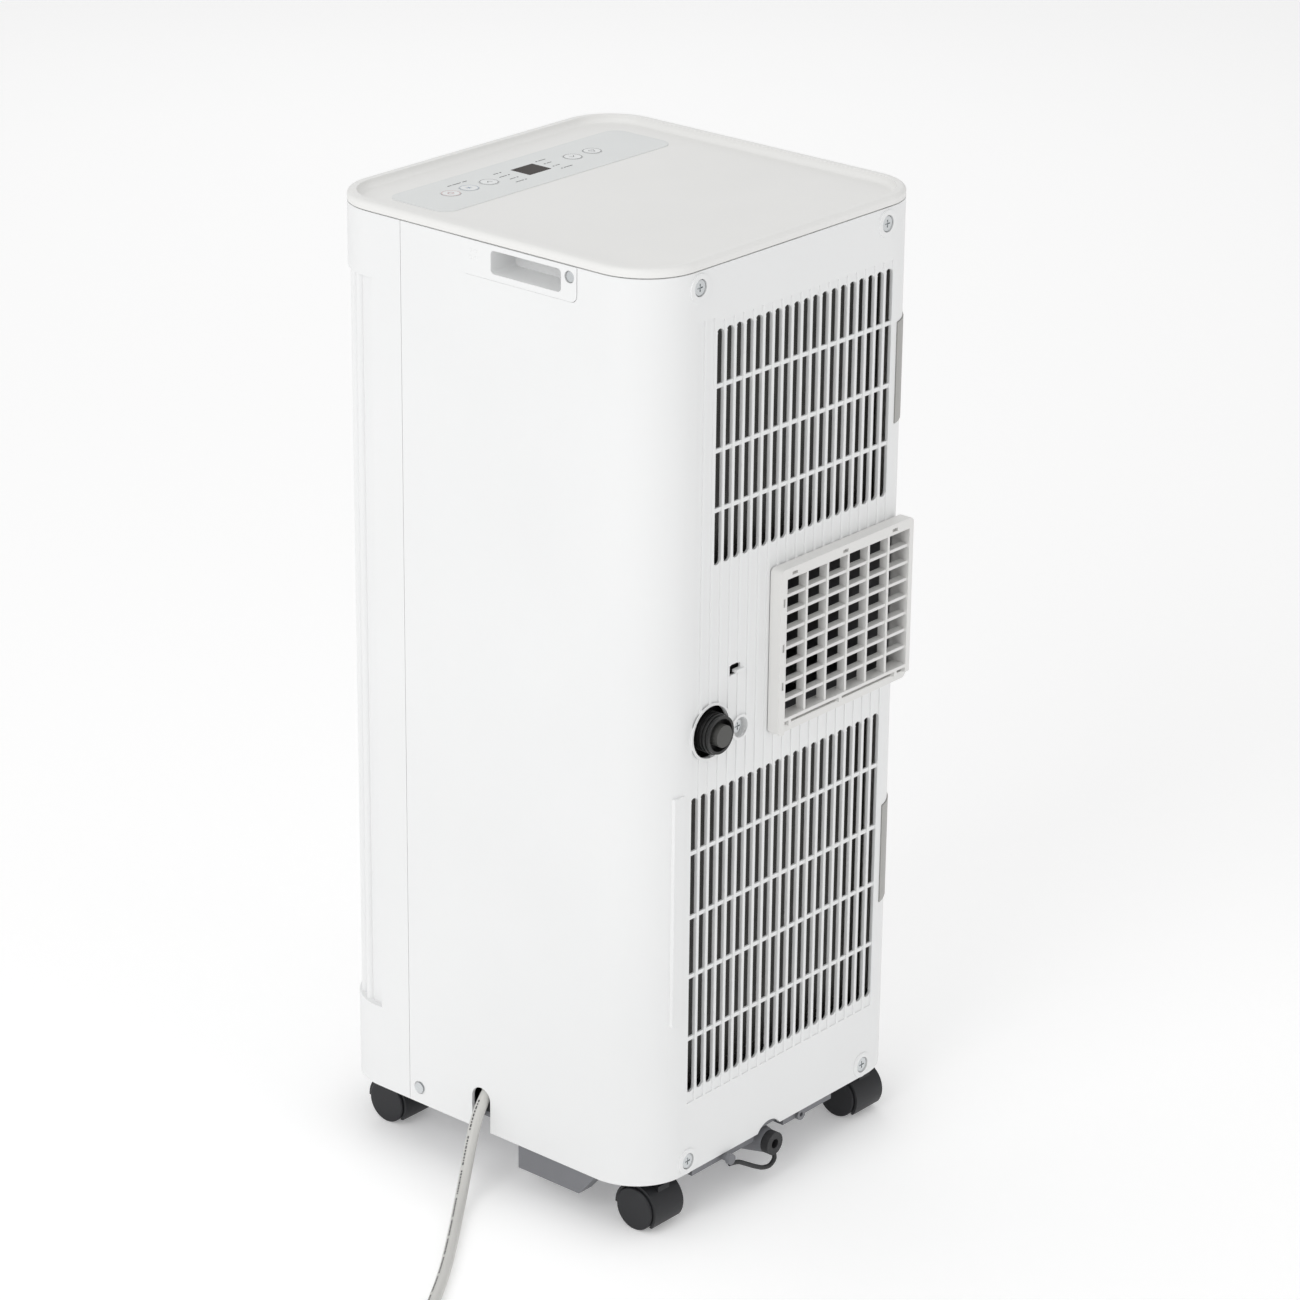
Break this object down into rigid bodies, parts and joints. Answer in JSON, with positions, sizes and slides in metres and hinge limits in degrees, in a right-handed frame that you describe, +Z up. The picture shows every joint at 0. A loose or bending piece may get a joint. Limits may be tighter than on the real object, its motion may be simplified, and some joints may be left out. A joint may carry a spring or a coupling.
{
  "type": "portable air conditioner",
  "caption": "Upright portable air conditioner on castors, with rear intake grilles, slide-out filters, a hose outlet, drains, touch controls and a mains cord.",
  "frame": {"origin": "on the floor under the centre of the casing", "axes": "+Z up, -Y towards the front air outlet, +Y towards the rear grilles, +X towards the side with the mains cord"},
  "size_m": [0.571, 0.4394, 0.704],
  "materials": {
    "white_shell": "satin moulded",
    "tray_white": "satin moulded",
    "louvre_white": "satin moulded",
    "outlet_white": "satin moulded",
    "overlay_film": "semi gloss film",
    "display_smoke": "gloss",
    "key_white": "semi gloss",
    "circuit_board": "solder mask",
    "pan_grey": "fine texture",
    "castor_black": "satin moulded",
    "filter_grey": "satin moulded",
    "drain_black": "satin moulded",
    "drain_rubber": "matte",
    "plug_green": "matte",
    "screw_steel": "bright zinc",
    "compressor_black": "semi gloss",
    "coil_fins": "bare",
    "copper_pipe": "drawn copper",
    "foam_grey": "moulded",
    "fan_plastic": "moulded",
    "motor_steel": "zinc plated",
    "electric_box": "moulded",
    "cord_grey": "extruded PVC",
    "pin_chrome": "nickel plated"
  },
  "bodies": {
    "casing": {"rear_casing": "white_shell", "front_panel": "white_shell", "top_cover": "tray_white", "control_overlay": "overlay_film", "display_window": "display_smoke", "display_board": "circuit_board", "carry_handle_left": "white_shell", "carry_handle_right": "white_shell", "exhaust_frame": "outlet_white", "drain_spout_upper": "drain_black", "drain_tether": "drain_rubber", "base_pan": "pan_grey", "exhaust_duct": "foam_grey", "air_duct": "pan_grey", "compressor": "compressor_black", "accumulator": "compressor_black", "condenser_coil": "coil_fins", "evaporator_coil": "coil_fins", "suction_pipe": "copper_pipe", "discharge_pipe": "copper_pipe", "drip_tray": "pan_grey", "evaporator_fan_scroll": "foam_grey", "evaporator_fan_motor": "motor_steel", "condenser_fan_scroll": "foam_grey", "condenser_fan_motor": "motor_steel", "control_box": "electric_box", "capacitor": "electric_box", "rear_screws": "screw_steel", "side_screws": "screw_steel", "cord_clamp": "pan_grey", "cord_gland": "cord_grey", "power_cord": "cord_grey", "cord_coil": "cord_grey", "cord_tail": "cord_grey", "mains_plug": "cord_grey", "plug_pins": "pin_chrome"},
    "power_key": {"power_key": "key_white"},
    "mode_key": {"mode_key": "key_white"},
    "down_key": {"down_key": "key_white"},
    "up_key": {"up_key": "key_white"},
    "fan_key": {"fan_key": "key_white"},
    "louvre_1": {"louvre_1": "louvre_white"},
    "louvre_2": {"louvre_2": "louvre_white"},
    "louvre_3": {"louvre_3": "louvre_white"},
    "louvre_4": {"louvre_4": "louvre_white"},
    "filter_upper": {"filter_upper": "filter_grey"},
    "filter_lower": {"filter_lower": "filter_grey"},
    "drain_cap_upper": {"drain_cap_upper": "drain_black"},
    "drain_plug_upper": {"drain_plug_upper": "plug_green"},
    "drain_plug_lower": {"drain_plug_lower": "drain_rubber"},
    "evaporator_fan_wheel": {"evaporator_fan_wheel": "fan_plastic"},
    "condenser_fan_wheel": {"condenser_fan_wheel": "fan_plastic"},
    "castor_1": {"castor_housing_1": "castor_black"},
    "castor_1_wheels": {"castor_wheels_1": "castor_black"},
    "castor_2": {"castor_housing_2": "castor_black"},
    "castor_2_wheels": {"castor_wheels_2": "castor_black"},
    "castor_3": {"castor_housing_3": "castor_black"},
    "castor_3_wheels": {"castor_wheels_3": "castor_black"},
    "castor_4": {"castor_housing_4": "castor_black"},
    "castor_4_wheels": {"castor_wheels_4": "castor_black"}
  },
  "joints": [
    {"name": "power_press", "type": "slide", "parent": "casing", "child": "power_key", "axis": [0, 0, -1], "range_m": [0, 0.0005], "stiffness_N_per_m": 600},
    {"name": "mode_press", "type": "slide", "parent": "casing", "child": "mode_key", "axis": [0, 0, -1], "range_m": [0, 0.0005], "stiffness_N_per_m": 600},
    {"name": "down_press", "type": "slide", "parent": "casing", "child": "down_key", "axis": [0, 0, -1], "range_m": [0, 0.0005], "stiffness_N_per_m": 600},
    {"name": "up_press", "type": "slide", "parent": "casing", "child": "up_key", "axis": [0, 0, -1], "range_m": [0, 0.0005], "stiffness_N_per_m": 600},
    {"name": "fan_press", "type": "slide", "parent": "casing", "child": "fan_key", "axis": [0, 0, -1], "range_m": [0, 0.0005], "stiffness_N_per_m": 600},
    {"name": "louvre_1_tilt", "type": "hinge", "parent": "casing", "child": "louvre_1", "pos_m": [0, -0.134, 0.55875], "axis": [1, 0, 0], "range_deg": [-35, 35]},
    {"name": "louvre_2_tilt", "type": "hinge", "parent": "casing", "child": "louvre_2", "pos_m": [0, -0.134, 0.58025], "axis": [1, 0, 0], "range_deg": [-35, 35]},
    {"name": "louvre_3_tilt", "type": "hinge", "parent": "casing", "child": "louvre_3", "pos_m": [0, -0.134, 0.60175], "axis": [1, 0, 0], "range_deg": [-35, 35]},
    {"name": "louvre_4_tilt", "type": "hinge", "parent": "casing", "child": "louvre_4", "pos_m": [0, -0.134, 0.62325], "axis": [1, 0, 0], "range_deg": [-35, 35]},
    {"name": "filter_upper_slide", "type": "slide", "parent": "casing", "child": "filter_upper", "axis": [-1, 0, 0], "range_m": [0, 0.23]},
    {"name": "filter_lower_slide", "type": "slide", "parent": "casing", "child": "filter_lower", "axis": [-1, 0, 0], "range_m": [0, 0.23]},
    {"name": "drain_cap_pull", "type": "slide", "parent": "casing", "child": "drain_cap_upper", "axis": [0, 1, 0], "range_m": [0, 0.02]},
    {"name": "drain_plug_pull", "type": "slide", "parent": "drain_cap_upper", "child": "drain_plug_upper", "axis": [0, 1, 0], "range_m": [0, 0.025]},
    {"name": "drain_stopper_pull", "type": "slide", "parent": "casing", "child": "drain_plug_lower", "axis": [0, 1, 0], "range_m": [0, 0.018]},
    {"name": "evaporator_fan_spin", "type": "hinge", "parent": "casing", "child": "evaporator_fan_wheel", "pos_m": [0, 0.053, 0.578], "axis": [0, 1, 0], "continuous": true},
    {"name": "condenser_fan_spin", "type": "hinge", "parent": "casing", "child": "condenser_fan_wheel", "pos_m": [-0.052, 0.045, 0.22], "axis": [0, 1, 0], "continuous": true},
    {"name": "castor_1_swivel", "type": "hinge", "parent": "casing", "child": "castor_1", "pos_m": [0.113, 0.12, 0.036], "axis": [0, 0, 1], "continuous": true},
    {"name": "castor_1_roll", "type": "hinge", "parent": "castor_1", "child": "castor_1_wheels", "pos_m": [0.113, 0.126, 0.016], "axis": [1, 0, 0], "continuous": true},
    {"name": "castor_2_swivel", "type": "hinge", "parent": "casing", "child": "castor_2", "pos_m": [-0.113, 0.12, 0.036], "axis": [0, 0, 1], "continuous": true},
    {"name": "castor_2_roll", "type": "hinge", "parent": "castor_2", "child": "castor_2_wheels", "pos_m": [-0.113, 0.126, 0.016], "axis": [1, 0, 0], "continuous": true},
    {"name": "castor_3_swivel", "type": "hinge", "parent": "casing", "child": "castor_3", "pos_m": [0.113, -0.12, 0.036], "axis": [0, 0, 1], "continuous": true},
    {"name": "castor_3_roll", "type": "hinge", "parent": "castor_3", "child": "castor_3_wheels", "pos_m": [0.113, -0.114, 0.016], "axis": [1, 0, 0], "continuous": true},
    {"name": "castor_4_swivel", "type": "hinge", "parent": "casing", "child": "castor_4", "pos_m": [-0.113, -0.12, 0.036], "axis": [0, 0, 1], "continuous": true},
    {"name": "castor_4_roll", "type": "hinge", "parent": "castor_4", "child": "castor_4_wheels", "pos_m": [-0.113, -0.114, 0.016], "axis": [1, 0, 0], "continuous": true}
  ],
  "couplings": [
    {"joint": "louvre_2_tilt", "follows": "louvre_1_tilt", "ratio": 1},
    {"joint": "louvre_3_tilt", "follows": "louvre_1_tilt", "ratio": 1},
    {"joint": "louvre_4_tilt", "follows": "louvre_1_tilt", "ratio": 1}
  ]
}
